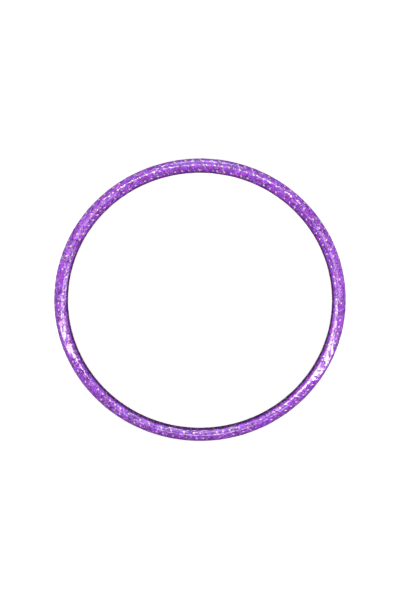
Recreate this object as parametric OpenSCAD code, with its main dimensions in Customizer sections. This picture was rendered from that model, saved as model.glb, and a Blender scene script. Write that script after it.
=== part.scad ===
// Rhythmic hoop: one bent tube, closed by a riveted plug and wound with film.
// The hoop lies flat on z = 0, its axis is Z, and the joint in the tube is at +Y.

/* [Hoop] */
// Outside diameter of the finished hoop, over the film
hoop_d = 600; // [450:5:900]
// Outside diameter of the bare tube that the hoop is bent from
tube_d = 28; // [24:0.1:32]
// Wall thickness of the tube
tube_wall = 1.5; // [1.3:0.1:2]

/* [Film] */
// Thickness that the wound film adds all round the tube
film_t = 0.4; // [0.3:0.05:0.8]
// Width of the band over the joint, measured along the hoop
band_w = 26; // [18:1:50]
// Thickness of the band, which stands proud of the film
band_t = 0.15; // [0.1:0.05:0.3]

/* [Splice plug] */
// Length of the plug inside the tube, measured along the hoop
plug_len = 96; // [80:2:140]
// Diameter of the hole along the plug
plug_bore_d = 14; // [12:0.5:16]
// Height of the gripping ribs on the plug
rib_h = 0.6; // [0.3:0.1:1]
// Gripping ribs on each half of the plug
ribs = 5; // [3:1:6]
// Width of the collar that the two ends of the tube butt against
collar_w = 1.2; // [0.8:0.1:3]

/* [Rivets] */
// Shank diameter of the two countersunk rivets
rivet_d = 3.2; // [3:0.1:4]
// Distance of each rivet from the joint, measured along the hoop
rivet_from_joint = 30; // [26:1:34]

/* [Hidden] */
$fn = 128;

tube_r = tube_d / 2;
bore_r = tube_r - tube_wall;
film_r = tube_r + film_t;
band_r = film_r + band_t;
ring_r = hoop_d / 2 - film_r;   // radius of the circle along the middle of the tube
ring_z = band_r;                // height of that circle, so that the band touches z = 0

plug_r = bore_r - rib_h;
plug_bore_r = plug_bore_d / 2;
collar_r = tube_r - 0.2;
rib_w = 1.5;                    // width of a rib along the hoop
rib_zone = [5, 44];             // first and last rib, measured along the hoop from the joint
rib_pitch = (rib_zone[1] - rib_zone[0]) / (ribs - 1);

rivet_r = rivet_d / 2;
head_r = rivet_r + 1.3;
head_sink = 0.5;                // keeps the rim of the head under the curve of the tube
head_h = 0.7;
bulb_r = rivet_r + 0.9;         // swelled blind end, inside the plug's hole
bulb_h = 2.5;
past = 1;                       // how far a cutter runs past the face that it opens

// Angle about the hoop's axis that a length along the middle of the tube turns through
function turn(length) = length / ring_r * 180 / PI;

// Carries its children along the hoop from the joint; positive is towards -X
module along(distance) {
    rotate([0, 0, turn(distance)]) children();
}

// Sweeps a 2D section, drawn about the middle of the tube, through an angle centred on the joint
module swept(angle) {
    translate([0, 0, ring_z])
        rotate([0, 0, 90 - angle / 2])
            rotate_extrude(angle = angle)
                translate([ring_r, 0]) children();
}

module ring_section(outer_r, inner_r) {
    difference() {
        circle(r = outer_r);
        circle(r = inner_r);
    }
}

// Places its children on the side of the tube that faces the hoop's axis, with +Z into the tube
module at_rivets() {
    for (side = [-1, 1])
        along(side * rivet_from_joint)
            translate([0, ring_r - tube_r, ring_z])
                rotate([-90, 0, 0]) children();
}

// Hole for the shank, with the countersink for the head
module rivet_hole() {
    translate([0, 0, -past]) cylinder(r = head_r, h = past + head_sink);
    translate([0, 0, head_sink]) cylinder(r1 = head_r, r2 = rivet_r, h = head_h);
    cylinder(r = rivet_r, h = tube_r);
}

module rivet() {
    shank_end = tube_r - plug_bore_r;
    translate([0, 0, head_sink]) cylinder(r1 = head_r, r2 = rivet_r, h = head_h);
    translate([0, 0, head_sink]) cylinder(r = rivet_r, h = shank_end - head_sink + past);
    translate([0, 0, shank_end + past / 2]) cylinder(r = bulb_r, h = bulb_h);
}

// The bent tube, open at the joint by the width of the plug's collar
module tube() {
    color("whitesmoke")
        difference() {
            rotate([0, 0, 180]) swept(360 - turn(collar_w)) ring_section(tube_r, bore_r);
            at_rivets() rivet_hole();
        }
}

// Hollow moulded plug that joins the two ends of the tube
module splice_plug() {
    color("gainsboro")
        difference() {
            union() {
                swept(turn(plug_len)) circle(r = plug_r);
                swept(turn(collar_w)) circle(r = collar_r);
                for (side = [-1, 1])
                    for (i = [0 : ribs - 1])
                        along(side * (rib_zone[0] + i * rib_pitch))
                            swept(turn(rib_w)) circle(r = bore_r);
            }
            swept(turn(plug_len + 2 * past)) circle(r = plug_bore_r);
            at_rivets() rivet_hole();
        }
}

module splice_rivets() {
    color("silver") at_rivets() rivet();
}

// The film as it lies after winding, all the way round the tube
module film_wrap() {
    color("mediumpurple")
        translate([0, 0, ring_z])
            rotate_extrude()
                translate([ring_r, 0]) ring_section(film_r, tube_r);
}

// Short band that holds down the two ends of the film, over the joint
module joint_band() {
    color("mediumorchid") swept(turn(band_w)) ring_section(band_r, film_r);
}

tube();
splice_plug();
splice_rivets();
film_wrap();
joint_band();
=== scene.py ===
"""Rhythmic hoop: a bent tube wound with one strip of prismatic film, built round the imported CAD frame."""

import math

import bpy
import numpy as np
from mathutils import Matrix, Vector


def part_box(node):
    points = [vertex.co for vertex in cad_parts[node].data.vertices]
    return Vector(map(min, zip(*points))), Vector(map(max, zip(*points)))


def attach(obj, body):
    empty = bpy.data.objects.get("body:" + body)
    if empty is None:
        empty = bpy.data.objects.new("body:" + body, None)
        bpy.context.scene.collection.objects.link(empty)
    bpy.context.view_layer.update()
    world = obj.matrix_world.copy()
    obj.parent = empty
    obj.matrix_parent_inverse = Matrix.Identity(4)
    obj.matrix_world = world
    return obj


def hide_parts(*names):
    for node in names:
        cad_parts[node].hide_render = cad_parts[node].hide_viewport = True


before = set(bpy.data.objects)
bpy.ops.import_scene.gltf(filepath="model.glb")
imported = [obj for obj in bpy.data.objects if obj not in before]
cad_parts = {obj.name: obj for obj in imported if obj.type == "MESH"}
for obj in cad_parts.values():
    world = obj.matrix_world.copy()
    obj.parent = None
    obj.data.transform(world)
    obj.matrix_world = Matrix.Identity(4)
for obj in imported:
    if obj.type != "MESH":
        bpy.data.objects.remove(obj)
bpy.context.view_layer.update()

# ---------------------------------------------------------------- the frame's own sizes
TUBE_LO, TUBE_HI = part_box("tube")
FILM_LO, FILM_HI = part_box("film_wrap")
BAND_LO, BAND_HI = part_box("joint_band")
TUBE_R = (TUBE_HI.z - TUBE_LO.z) / 2
FILM_R = (FILM_HI.z - FILM_LO.z) / 2
BAND_R = (BAND_HI.z - BAND_LO.z) / 2
RING_Z = (FILM_HI.z + FILM_LO.z) / 2
RING_R = FILM_HI.y - FILM_R
JOINT_ANGLE = math.pi / 2

# ---------------------------------------------------------------- the wound film
TURNS = 36
TAPE_W = 0.048
LAYER_GAP = 0.00001
LAYER_T = (FILM_R - TUBE_R) / 2 - LAYER_GAP
MID_R = (TUBE_R + FILM_R) / 2
PITCH = 2 * math.pi * RING_R / TURNS
ROUND = 2 * math.pi * MID_R
HELIX = math.atan2(ROUND, PITCH)
TAPE_LENGTH = 2 * math.pi * RING_R / math.cos(HELIX)
# Each turn lies this far beside the turn before it, measured across the tape, and laps over it with the rest.
TURN_STEP = PITCH * math.sin(HELIX)
LAP = TAPE_W - TURN_STEP
# Next to the lap, the tape comes down to the tube over this width.
RAMP = 0.0012
RAMP_COLUMNS = 3
FLAT_COLUMNS = 26
ROW_STEP = 0.0026
TAPE_UV = "tape"

# ---------------------------------------------------------------- the band over the joint
BAND_ROWS, BAND_COLUMNS = 110, 14
BAND_INSET = 0.0002
BAND_GAP = 0.00002
BAND_T = 0.00005
BAND_LAP_LIFT = 0.00006
# How far each end runs past the other, and where the lap starts to rise, in parts of the way round the tube
BAND_OVERRUN = 0.03
BAND_LAP_START = 0.44

# ---------------------------------------------------------------- the film's pattern
# Half a cell is over from one turn to the next, so the pattern is shifted there.
CELL = TURN_STEP / 3.5
BARS_PER_CELL = 4
CHIPS_PER_CELL = 8
DOME_ROW = ROUND / 8
DOME_START = 0.0035
DOME_R = 0.0020
DOME_TOP_R = DOME_R * 0.6
# A dome that is missing is missing only on this length of tape.
DOME_STRETCH = 0.1
# From its middle, how far a groove, line or crease is at full strength, and where it ends. The groove's are
# parts of a bar, and the others' are parts of a cell.
GROOVE_REACH = (0.05, 0.18)
LINE_REACH = (0.03, 0.08)
CREASE_REACH = (0.07, 0.11)
# Third numbers for random colours, which keep the chips and the borders along and across the tape apart
CHIP_SEED, ALONG_SEED, ACROSS_SEED = 11.0, 7.0, 3.0
# Painted shade on the film begins and ends here, in parts of the way round the tube from its top, outwards.
SHADE_FROM = (0.45, 0.55)
SHADE_TO = (0.812, 0.865)
# How much the painted shade darkens the film's colour there
PAINTED_SHADE_STRENGTH = 0.70
# The coloured layer leans and stands up more than the clear gloss face that lies over it.
COLOUR_LEAN, COLOUR_RELIEF = 0.16, 0.00006
GLOSS_LEAN, GLOSS_RELIEF = 0.009, 0.00003

VIOLET = (0.37, 0.055, 0.80, 1)
BLUE = (0.31, 0.065, 0.86, 1)
MAGENTA = (0.45, 0.06, 0.74, 1)
PINK = (0.85, 0.50, 0.85, 1)
# Painted glint colour for the domes and a few chips
GLINT_CREAM = (1.0, 0.95, 0.93, 1)

# ---------------------------------------------------------------- stage, light and camera
FLOOR_HALF = 6.0
FLOOR_SEEN = (0.95, 0.95, 0.95, 1)
FLOOR_OUTSIDE = (0.4, 0.4, 0.4, 1)
FLOOR_INSIDE = (0.05, 0.05, 0.05, 1)
WHITE = (1, 1, 1, 1)
FRONT_TINT = (1.0, 0.93, 0.90, 1)
BACK_TINT = (0.96, 0.97, 1.0, 1)
LAMP_TINT = (1.0, 1.0, 0.86)
SLATS = 3
SLAT_PITCH = 0.036
SLAT_W = SLAT_PITCH * 0.6
# A slat is this long for each metre between it and the tube.
SLAT_SPREAD = 0.62
CAMERA_TURN = math.radians(9)
CAMERA_ELEVATION = math.radians(75.4)
CAMERA_DISTANCE = 2.0
LENS_PER_METRE = 29.2
AIM_UP = 0.0102


# ---------------------------------------------------------------- meshes
def in_scene(item):
    bpy.context.scene.collection.objects.link(item)
    return item


def smoothstep(x):
    x = np.clip(x, 0, 1)
    return x * x * (3 - 2 * x)


def ring_point(along, around, radius):
    """A point on the tube's skin. along and around are lengths on it, from the joint and from the tube's top,
    and around grows outwards. radius is the distance from the middle of the tube."""
    theta = JOINT_ANGLE + along / RING_R
    phi = math.pi / 2 - around / MID_R
    reach = RING_R + radius * np.cos(phi)
    return np.stack([reach * np.cos(theta), reach * np.sin(theta), RING_Z + radius * np.sin(phi)], -1)


def other_way(a, b):
    """Turns lengths along and across the tape into lengths along the hoop and around its tube. The same
    formula turns them back."""
    return a * math.cos(HELIX) + b * math.sin(HELIX), a * math.sin(HELIX) - b * math.cos(HELIX)


def grid_triangles(points, start=0, flip=False):
    """Triangles over a grid of points, numbered row by row. Each square is cut along its shorter diagonal."""
    rows, columns = points.shape[:2]
    flat = points.reshape(-1, 3)
    r, c = np.meshgrid(np.arange(rows - 1), np.arange(columns - 1), indexing="ij")
    a = (r * columns + c).ravel()
    b, c, d = a + columns, a + columns + 1, a + 1
    ac_shorter = np.linalg.norm(flat[a] - flat[c], axis=1) < np.linalg.norm(flat[b] - flat[d], axis=1)
    first = np.where(ac_shorter[:, None], np.stack([a, b, c], -1), np.stack([a, b, d], -1))
    second = np.where(ac_shorter[:, None], np.stack([a, c, d], -1), np.stack([b, c, d], -1))
    triangles = np.concatenate([first, second]) + start
    return triangles[:, ::-1] if flip else triangles


def rim(rows, columns):
    """Vertex numbers round the edge of a grid, in order, the first one not repeated."""
    top = np.arange(columns)
    right = np.arange(1, rows) * columns + columns - 1
    bottom = (rows - 1) * columns + np.arange(columns - 1)[::-1]
    left = np.arange(1, rows - 1)[::-1] * columns
    return np.concatenate([top, right, bottom, left])


def closed_sheet(name, outer, inner, uv):
    """A closed thin solid between two grids of points of the same shape, with a UV map in metres."""
    rows, columns = outer.shape[:2]
    count = rows * columns
    edge = rim(rows, columns)
    after = np.roll(edge, -1)
    walls = np.stack([edge, after, after + count, edge + count], -1)
    faces = grid_triangles(outer).tolist() + grid_triangles(inner, count, True).tolist() + walls.tolist()
    mesh = bpy.data.meshes.new(name)
    mesh.from_pydata(np.concatenate([outer.reshape(-1, 3), inner.reshape(-1, 3)]).tolist(), [], faces)
    layer = mesh.uv_layers.new(name=TAPE_UV)
    loop_vertex = np.empty(len(mesh.loops), np.int32)
    mesh.loops.foreach_get("vertex_index", loop_vertex)
    flat_uv = np.concatenate([uv.reshape(-1, 2), uv.reshape(-1, 2)])
    layer.data.foreach_set("uv", flat_uv[loop_vertex].astype(np.float32).ravel())
    smooth = np.ones(len(faces), bool)
    smooth[-len(walls):] = False
    mesh.polygons.foreach_set("use_smooth", smooth)
    mesh.update()
    return in_scene(bpy.data.objects.new(name, mesh))


def tape_columns():
    """Places across the tape: close together on the lap and its ramp, wide apart on the flat."""
    edge = -TAPE_W / 2
    lap = [edge, edge + LAP / 2, edge + LAP]
    ramp = [edge + LAP + RAMP * (k + 1) / RAMP_COLUMNS for k in range(RAMP_COLUMNS)]
    flat = np.linspace(ramp[-1], TAPE_W / 2, FLAT_COLUMNS + 1)[1:]
    return np.array(lap + ramp + list(flat))


def film_strip():
    """The film as one strip, wound round the tube. Each turn lies on the edge of the turn before it."""
    w = tape_columns()
    s = np.linspace(0, TAPE_LENGTH, int(TAPE_LENGTH / ROW_STEP))
    end_turn = TAPE_LENGTH / TURNS
    square_cut = 1 - smoothstep(np.minimum(s, TAPE_LENGTH - s) / end_turn)
    s_grid = s[:, None] - w[None, :] * math.tan(HELIX) * square_cut[:, None]
    w_grid = np.broadcast_to(w, s_grid.shape)
    along, around = other_way(s_grid, w_grid)
    lifted = 1 - smoothstep((w_grid + TAPE_W / 2 - LAP) / RAMP)
    under = TUBE_R + LAYER_GAP + lifted * (LAYER_T + LAYER_GAP)
    outer = ring_point(along, around, under + LAYER_T)
    inner = ring_point(along, around, under)
    return closed_sheet("film_winding", outer, inner, np.stack([s_grid, w_grid], -1))


def joint_wrap():
    """The band over the joint: one turn of the same film, cut across and lapped under the tube."""
    half = RING_R * math.asin(BAND_HI.x / (RING_R + BAND_R)) - BAND_INSET
    columns = np.linspace(-half, half, BAND_COLUMNS)
    rounds = np.linspace(-BAND_OVERRUN, 1 + BAND_OVERRUN, BAND_ROWS) * ROUND
    around, along = np.meshgrid(rounds - ROUND / 2, columns, indexing="ij")
    lapped = smoothstep((around - BAND_LAP_START * ROUND) / RAMP - 1)
    under = FILM_R + BAND_GAP + lapped * BAND_LAP_LIFT
    outer = ring_point(along, around, under + BAND_T)
    inner = ring_point(along, around, under)
    return closed_sheet("joint_band_film", outer, inner, np.stack(other_way(along, around), -1))


# ---------------------------------------------------------------- materials
class Nodes:
    """Short names for the few shader nodes that the materials and the world are made of. owner is the
    material or world, and end is the name of the node that gives its look."""

    def __init__(self, owner, end="Principled BSDF"):
        owner.use_nodes = True
        self.owner = owner
        self.tree = owner.node_tree
        self.end = self.tree.nodes[end]

    def add(self, kind, **settings):
        node = self.tree.nodes.new(kind)
        for key, value in settings.items():
            setattr(node, key, value)
        return node

    def link(self, source, target):
        if isinstance(source, (int, float, tuple)):
            target.default_value = source
        else:
            self.tree.links.new(source, target)

    def set(self, **sockets):
        for key, value in sockets.items():
            self.link(value, self.end.inputs[key.replace("_", " ")])

    def math(self, operation, *values):
        node = self.add("ShaderNodeMath", operation=operation)
        for value, socket in zip(values, node.inputs):
            self.link(value, socket)
        return node.outputs[0]

    def plus(self, a, b):
        return self.math("ADD", a, b)

    def minus(self, a, b):
        return self.math("SUBTRACT", a, b)

    def times(self, a, b):
        return self.math("MULTIPLY", a, b)

    def over(self, a, b):
        return self.math("DIVIDE", a, b)

    def larger(self, a, b):
        return self.math("MAXIMUM", a, b)

    def floor(self, a):
        return self.math("FLOOR", a)

    def nearest(self, a):
        return self.math("ROUND", a)

    def fraction(self, a):
        return self.math("FRACT", a)

    def vector(self, operation, a, b=None):
        node = self.add("ShaderNodeVectorMath", operation=operation)
        self.link(a, node.inputs[0])
        if b is not None:
            self.link(b, node.inputs["Scale" if operation == "SCALE" else 1])
        return node.outputs["Value" if operation in ("DOT_PRODUCT", "LENGTH") else "Vector"]

    def mix(self, factor, a, b, data_type="RGBA"):
        node = self.add("ShaderNodeMix", data_type=data_type)
        self.link(factor, node.inputs["Factor"])
        self.link(a, node.inputs["A"])
        self.link(b, node.inputs["B"])
        return node.outputs["Result"]

    def ramp(self, value, low, high):
        """0 below low, 1 above high, smooth between."""
        node = self.add("ShaderNodeMapRange", interpolation_type="SMOOTHSTEP")
        self.link(value, node.inputs["Value"])
        node.inputs["From Min"].default_value = low
        node.inputs["From Max"].default_value = high
        return node.outputs["Result"]

    def near(self, distance, full, none):
        """1 up to the distance full, falling to 0 at the distance none."""
        return self.minus(1.0, self.ramp(distance, full, none))

    def to_edge(self, place):
        """Distance from a place between 0 and 1 to the nearer end."""
        return self.math("MINIMUM", place, self.minus(1.0, place))

    def random(self, *values):
        """The channels of a random colour that belongs to up to three whole numbers."""
        join = self.add("ShaderNodeCombineXYZ")
        for value, socket in zip(values, join.inputs):
            self.link(value, socket)
        white = self.add("ShaderNodeTexWhiteNoise", noise_dimensions="3D")
        self.link(join.outputs[0], white.inputs["Vector"])
        parts = self.add("ShaderNodeSeparateColor")
        self.link(white.outputs["Color"], parts.inputs[0])
        return parts.outputs

    def noise(self, vector, scale, detail=3.0):
        node = self.add("ShaderNodeTexNoise")
        self.link(vector, node.inputs["Vector"])
        node.inputs["Scale"].default_value = scale
        node.inputs["Detail"].default_value = detail
        return node.outputs["Fac"]

    def bump(self, height, distance, normal=None):
        node = self.add("ShaderNodeBump")
        node.inputs["Distance"].default_value = distance
        self.link(height, node.inputs["Height"])
        if normal is not None:
            self.link(normal, node.inputs["Normal"])
        return node.outputs[0]


def ruled_bars(n, s, w, cell):
    """The bars that the cells are ruled with, along the tape in half of the cells and across it in the rest.
    Gives a random colour for each bar, and 1 in the grooves between them."""
    lengthways = n.math("GREATER_THAN", cell["Red"], 0.5)
    crossways = n.minus(1.0, lengthways)
    bar_at = n.plus(n.times(n.fraction(w), lengthways), n.times(n.fraction(s), crossways))
    bar_at = n.times(bar_at, BARS_PER_CELL)
    facet = n.random(n.floor(s), n.floor(w), n.plus(n.floor(bar_at), 1.0))
    return facet, n.near(n.to_edge(n.fraction(bar_at)), *GROOVE_REACH)


def cell_borders(n, s, w):
    """Pale lines and creases between the cells, each stretch of one with its own strength; creases get
    painted shade.
    """
    along_tape = n.to_edge(n.fraction(w)), n.random(n.floor(s), n.nearest(w), ALONG_SEED)
    across_tape = n.to_edge(n.fraction(s)), n.random(n.nearest(s), n.floor(w), ACROSS_SEED)
    line, crease = 0.0, 0.0
    for edge, stretch in (along_tape, across_tape):
        creased = n.ramp(stretch["Blue"], 0.45, 0.55)
        pale = n.times(n.near(edge, *LINE_REACH), n.math("POWER", stretch["Red"], 2.0))
        line = n.larger(line, n.times(pale, n.minus(1.0, creased)))
        crease = n.larger(crease, n.times(n.near(edge, *CREASE_REACH), creased))
    return line, crease


def domes_and_painted_glints(n, s_m, w, around):
    """1 on the small domes, where rows along the hoop cross lines along the tape. It raises them and gives
    them painted glints.
    """
    row = n.over(n.minus(around, DOME_START), DOME_ROW)
    down = n.times(n.minus(row, n.nearest(row)), DOME_ROW)
    aside = n.times(n.to_edge(n.fraction(w)), CELL)
    reach = n.math("SQRT", n.plus(n.times(down, down), n.times(aside, aside)))
    one_dome = n.random(n.nearest(row), n.nearest(w), n.floor(n.over(s_m, DOME_STRETCH)))
    return n.times(n.near(reach, DOME_TOP_R, DOME_R), n.ramp(one_dome["Red"], 0.15, 0.45))


def tone_and_painted_crease_shade(n, facet, chip, groove, crease):
    """How light the purple is: bars and chips differ a little at random; grooves and creases get painted
    shade.
    """
    shade = n.plus(n.plus(0.50, n.times(facet["Green"], 0.60)), n.times(chip["Green"], 0.40))
    # Painted shade: the grooves and creases are made darker.
    return n.minus(shade, n.larger(n.times(groove, 0.25), n.times(crease, 0.45)))


def painted_shade_side(n, around):
    """1 on the tube's side that faces the floor and the hoop's axis, where it gets painted shade, 0 on the
    rest.
    """
    part_round = n.fraction(n.over(around, ROUND))
    return n.times(n.near(part_round, *SHADE_TO), n.ramp(part_round, *SHADE_FROM))


def leaning(n, cell, facet, amount):
    """A normal that leans a little, another way in each cell and in each bar of it."""
    tilt = n.add("ShaderNodeCombineColor")
    for key, whole, part in (("Red", cell["Green"], facet["Blue"]), ("Green", cell["Blue"], facet["Red"])):
        both = n.plus(n.times(whole, 0.65), n.times(part, 0.35))
        n.link(n.plus(0.5, n.times(n.minus(both, 0.5), amount)), tilt.inputs[key])
    tilt.inputs["Blue"].default_value = 1.0
    normal = n.add("ShaderNodeNormalMap", space="TANGENT", uv_map=TAPE_UV)
    n.link(tilt.outputs[0], normal.inputs["Color"])
    return normal.outputs[0]


def prismatic_film(name):
    """Purple metallised film under a clear gloss face. It is embossed in square cells, ruled with fine bars,
    and small domes stand along the lines between the cells. The domes and a few chips have painted glints in
    cream."""
    n = Nodes(bpy.data.materials.new(name))
    uv = n.add("ShaderNodeUVMap", uv_map=TAPE_UV).outputs["UV"]
    split = n.add("ShaderNodeSeparateXYZ")
    n.link(uv, split.inputs[0])
    s_m, w_m = split.outputs["X"], split.outputs["Y"]
    s, w = n.over(s_m, CELL), n.over(w_m, CELL)
    around = n.minus(n.times(s_m, math.sin(HELIX)), n.times(w_m, math.cos(HELIX)))

    cell = n.random(n.floor(s), n.floor(w))
    facet, groove = ruled_bars(n, s, w, cell)
    chip = n.random(n.floor(n.times(s, CHIPS_PER_CELL)), n.floor(n.times(w, CHIPS_PER_CELL)), CHIP_SEED)
    line, crease = cell_borders(n, s, w)
    dome_and_glint = domes_and_painted_glints(n, s_m, w, around)

    # Colour: a few chips and the domes are painted cream as glints.
    hue = n.mix(n.ramp(facet["Red"], 0.0, 0.4), BLUE, VIOLET)
    hue = n.mix(n.ramp(facet["Red"], 0.6, 1.0), hue, MAGENTA)
    colour = n.vector("SCALE", hue, tone_and_painted_crease_shade(n, facet, chip, groove, crease))
    colour = n.mix(n.times(line, 0.75), colour, PINK)
    painted_glint = n.ramp(chip["Red"], 0.94, 0.98)
    colour = n.mix(n.larger(dome_and_glint, n.times(painted_glint, 0.5)), colour, GLINT_CREAM)
    # Painted shade: the colour is darkened on the side facing the floor and the hoop's axis.
    painted_shade = n.minus(1.0, n.times(painted_shade_side(n, around), PAINTED_SHADE_STRENGTH))
    raised = n.larger(line, dome_and_glint)
    n.set(Base_Color=n.vector("SCALE", colour, painted_shade))
    n.set(Metallic=n.times(n.minus(1.0, raised), 0.02), Specular_IOR_Level=0.05)

    # Relief and gloss, which is broken along the creases and the grooves
    height = n.minus(raised, n.times(groove, 0.3))
    n.set(Roughness=n.plus(0.36, n.times(n.noise(uv, 90.0, 4.0), 0.14)))
    n.set(Normal=n.bump(height, COLOUR_RELIEF, leaning(n, cell, facet, COLOUR_LEAN)))
    n.set(Coat_Normal=n.bump(height, GLOSS_RELIEF, leaning(n, cell, facet, GLOSS_LEAN)))
    gap = n.larger(crease, n.times(groove, 0.3))
    n.set(Coat_Weight=n.minus(1.0, n.times(gap, 0.9)), Coat_Roughness=0.04, Coat_IOR=1.65)
    return n.owner


def moulded_plastic(name, colour, grain, roughness):
    """Plain plastic with a fine grain, slight mottling and an uneven gloss."""
    n = Nodes(bpy.data.materials.new(name))
    where = n.add("ShaderNodeTexCoord").outputs["Object"]
    dark = tuple(c * 0.86 for c in colour[:3]) + (1,)
    n.set(Base_Color=n.mix(n.noise(where, 35.0), dark, colour))
    n.set(Roughness=n.plus(roughness, n.times(n.noise(where, 260.0), 0.18)))
    n.set(Normal=n.bump(n.noise(where, 2200.0), grain))
    return n.owner


def drawn_metal(name):
    """Satin aluminium with a fine grain."""
    n = Nodes(bpy.data.materials.new(name))
    marks = n.noise(n.add("ShaderNodeTexCoord").outputs["Object"], 1500.0, 5.0)
    n.set(Base_Color=n.mix(marks, (0.60, 0.60, 0.62, 1), (0.80, 0.80, 0.82, 1)), Metallic=1.0)
    n.set(Roughness=n.plus(0.22, n.times(marks, 0.2)))
    n.set(Normal=n.bump(marks, 0.00002))
    return n.owner


def give(node, material):
    """Puts a material on a CAD node in place of the one that it came with."""
    mesh_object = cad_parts[node]
    mesh_object.data.materials.clear()
    mesh_object.data.materials.append(material)


# ---------------------------------------------------------------- the object
winding = film_strip()
winding.data.materials.append(prismatic_film("film"))
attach(winding, "root")
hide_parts("film_wrap")

band = joint_wrap()
band.data.materials.append(prismatic_film("band"))
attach(band, "root")
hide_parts("joint_band")

give("tube", moulded_plastic("tube", (0.86, 0.85, 0.82, 1), grain=0.00001, roughness=0.35))
give("splice_plug", moulded_plastic("plug", (0.72, 0.73, 0.75, 1), grain=0.00003, roughness=0.45))
give("splice_rivets", drawn_metal("rivets"))


# ---------------------------------------------------------------- the stage and its light
def turned(x, y, z=0.0):
    """A place or direction as the camera sees the hoop: x to the right, y up the picture, z off the floor."""
    return Matrix.Rotation(CAMERA_TURN, 3, "Z") @ Vector((x, y, z))


def stage_floor():
    """A pale floor. It is white to the camera, and throws little light back, least of all inside the hoop."""
    corners = [(-1, -1), (1, -1), (1, 1), (-1, 1)]
    mesh = bpy.data.meshes.new("floor")
    mesh.from_pydata([(x * FLOOR_HALF, y * FLOOR_HALF, 0) for x, y in corners], [], [(0, 1, 2, 3)])
    floor = in_scene(bpy.data.objects.new("floor", mesh))
    n = Nodes(bpy.data.materials.new("floor"))
    seen = n.add("ShaderNodeLightPath").outputs["Is Camera Ray"]
    from_middle = n.vector("LENGTH", n.add("ShaderNodeTexCoord").outputs["Object"])
    inside = n.near(from_middle, RING_R - TUBE_R, RING_R)
    n.set(Base_Color=n.mix(seen, n.mix(inside, FLOOR_OUTSIDE, FLOOR_INSIDE), FLOOR_SEEN), Roughness=1.0)
    n.set(Specular_IOR_Level=0.0, Emission_Color=WHITE, Emission_Strength=n.times(seen, 0.6))
    mesh.materials.append(n.owner)


def world_light(level, sideways, backwards, upwards):
    """Soft light from everywhere, stronger from both sides, from behind and from above. It looks white to
    the camera."""
    world = bpy.data.worlds.new("studio")
    n = Nodes(world, "Background")
    seen = n.add("ShaderNodeLightPath").outputs["Is Camera Ray"]
    direction = n.add("ShaderNodeTexCoord").outputs["Generated"]
    squared = n.vector("MULTIPLY", direction, direction)
    all_round = n.vector("DOT_PRODUCT", squared, (level + sideways, level, level))
    one_way = n.vector("DOT_PRODUCT", direction, tuple(turned(0.0, backwards, upwards)))
    n.set(Strength=n.mix(seen, n.plus(all_round, one_way), 1.0, "FLOAT"))
    tint = n.mix(n.vector("DOT_PRODUCT", direction, tuple(turned(0.0, 1.0))), FRONT_TINT, BACK_TINT)
    n.set(Color=n.mix(seen, tint, WHITE))
    bpy.context.scene.world = world


def area_light(name, place, target, length_way, length, width, radiance, spread=180, diffuse=False):
    """A rectangular lamp, its length laid along length_way. With diffuse False only reflections show it."""
    data = bpy.data.lights.new(name, "AREA")
    data.shape = "RECTANGLE"
    data.color = LAMP_TINT
    data.size, data.size_y = length, width
    data.spread = math.radians(spread)
    half = data.spread / 2
    narrowed = 1 - half / math.tan(half) if spread < 180 else 1
    data.energy = radiance * narrowed * math.pi * length * width
    lamp = bpy.data.objects.new(name, data)
    back = (Vector(place) - Vector(target)).normalized()
    across = back.cross(Vector(length_way)).normalized()
    lamp.location = place
    lamp.rotation_mode = "QUATERNION"
    lamp.rotation_quaternion = Matrix((across.cross(back), across, back)).transposed().to_quaternion()
    lamp.visible_camera = False
    lamp.visible_diffuse = diffuse
    in_scene(lamp)


def line_lamps():
    """Three thin lamps whose reflections are lines along the tube: two at the top and one at the bottom."""
    across = turned(1, 0)
    area_light("back_line", turned(0, 0.47, 0.52), turned(0, 0.1), across,
               length=1.2, width=0.02, radiance=80)
    area_light("far_line", turned(0, 2.2, 0.30), turned(0, 0.286), across,
               length=1.6, width=0.05, radiance=110)
    area_light("front_line", turned(0, -0.258, 0.30), turned(0, -0.286), across,
               length=0.32, width=0.02, radiance=30, spread=60)


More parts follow.
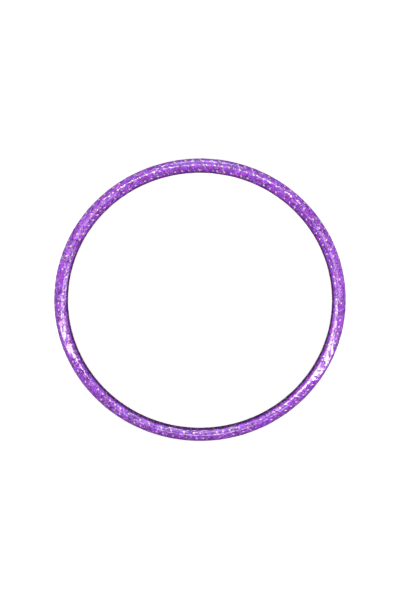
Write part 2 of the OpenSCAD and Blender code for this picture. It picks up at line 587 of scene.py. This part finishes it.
def soft_lamps():
    """A soft lamp over each side of the hoop, which lights it and shows in it."""
    across = turned(1, 0)
    area_light("right_soft", turned(0.34, 0.02, 0.5), turned(0.28, 0.02), across,
               length=0.3, width=0.26, radiance=3.6, spread=120, diffuse=True)
    area_light("left_soft", turned(-0.34, 0.10, 0.5), turned(-0.28, 0.08), across,
               length=0.3, width=0.22, radiance=3.6, spread=120, diffuse=True)


def lamp_arch(name, angle, reach, tangential, leans, radiance):
    """Slatted lamps in an arch over the tube, for a white patch with dark lines in it. angle is where it
    stands in the picture, in degrees, and tangential how far it is moved along the tube from there. Its slats
    run away from the hoop's axis. leans are the lamps' angles off the upright, in degrees, outwards."""
    angle = math.radians(angle)
    out = turned(math.cos(angle), math.sin(angle))
    round_way = turned(-math.sin(angle), math.cos(angle))
    tube_middle = out * RING_R + Vector((0, 0, RING_Z))
    for i, lean in enumerate(math.radians(lean) for lean in leans):
        away = out * math.sin(lean) + Vector((0, 0, math.cos(lean)))
        for k in range(SLATS):
            offset = round_way * (tangential + SLAT_PITCH * (k - (SLATS - 1) / 2))
            place = tube_middle + away * reach + offset
            area_light(f"{name}_{i}_{k}", place, tube_middle + offset * 0.5, out,
                       length=reach * SLAT_SPREAD, width=SLAT_W, radiance=radiance, spread=90)


def camera():
    """Looks down at the flat hoop, about 15 degrees off its axis, from the side at the picture's top."""
    data = bpy.data.cameras.new("camera")
    data.lens = LENS_PER_METRE * CAMERA_DISTANCE
    data.sensor_width = 36
    cam = in_scene(bpy.data.objects.new("camera", data))
    up = turned(0, 1)
    back = up * math.cos(CAMERA_ELEVATION) + Vector((0, 0, math.sin(CAMERA_ELEVATION)))
    cam.location = Vector((0, 0, RING_Z)) + up * AIM_UP + back * CAMERA_DISTANCE
    right = up.cross(back).normalized()
    top = back.cross(right).normalized()
    cam.rotation_mode = "QUATERNION"
    cam.rotation_quaternion = Matrix((right, top, back)).transposed().to_quaternion()
    bpy.context.scene.camera = cam


stage_floor()
world_light(level=0.55, sideways=0.32, backwards=0.35, upwards=0.08)
line_lamps()
soft_lamps()
lamp_arch("right_arch", 333, reach=0.28, tangential=-0.038, leans=(-34, -4, 26, 56), radiance=25)
lamp_arch("left_arch", 197, reach=0.30, tangential=0.046, leans=(-26, 6, 38), radiance=19)
camera()

bpy.context.scene.view_settings.view_transform = "Standard"
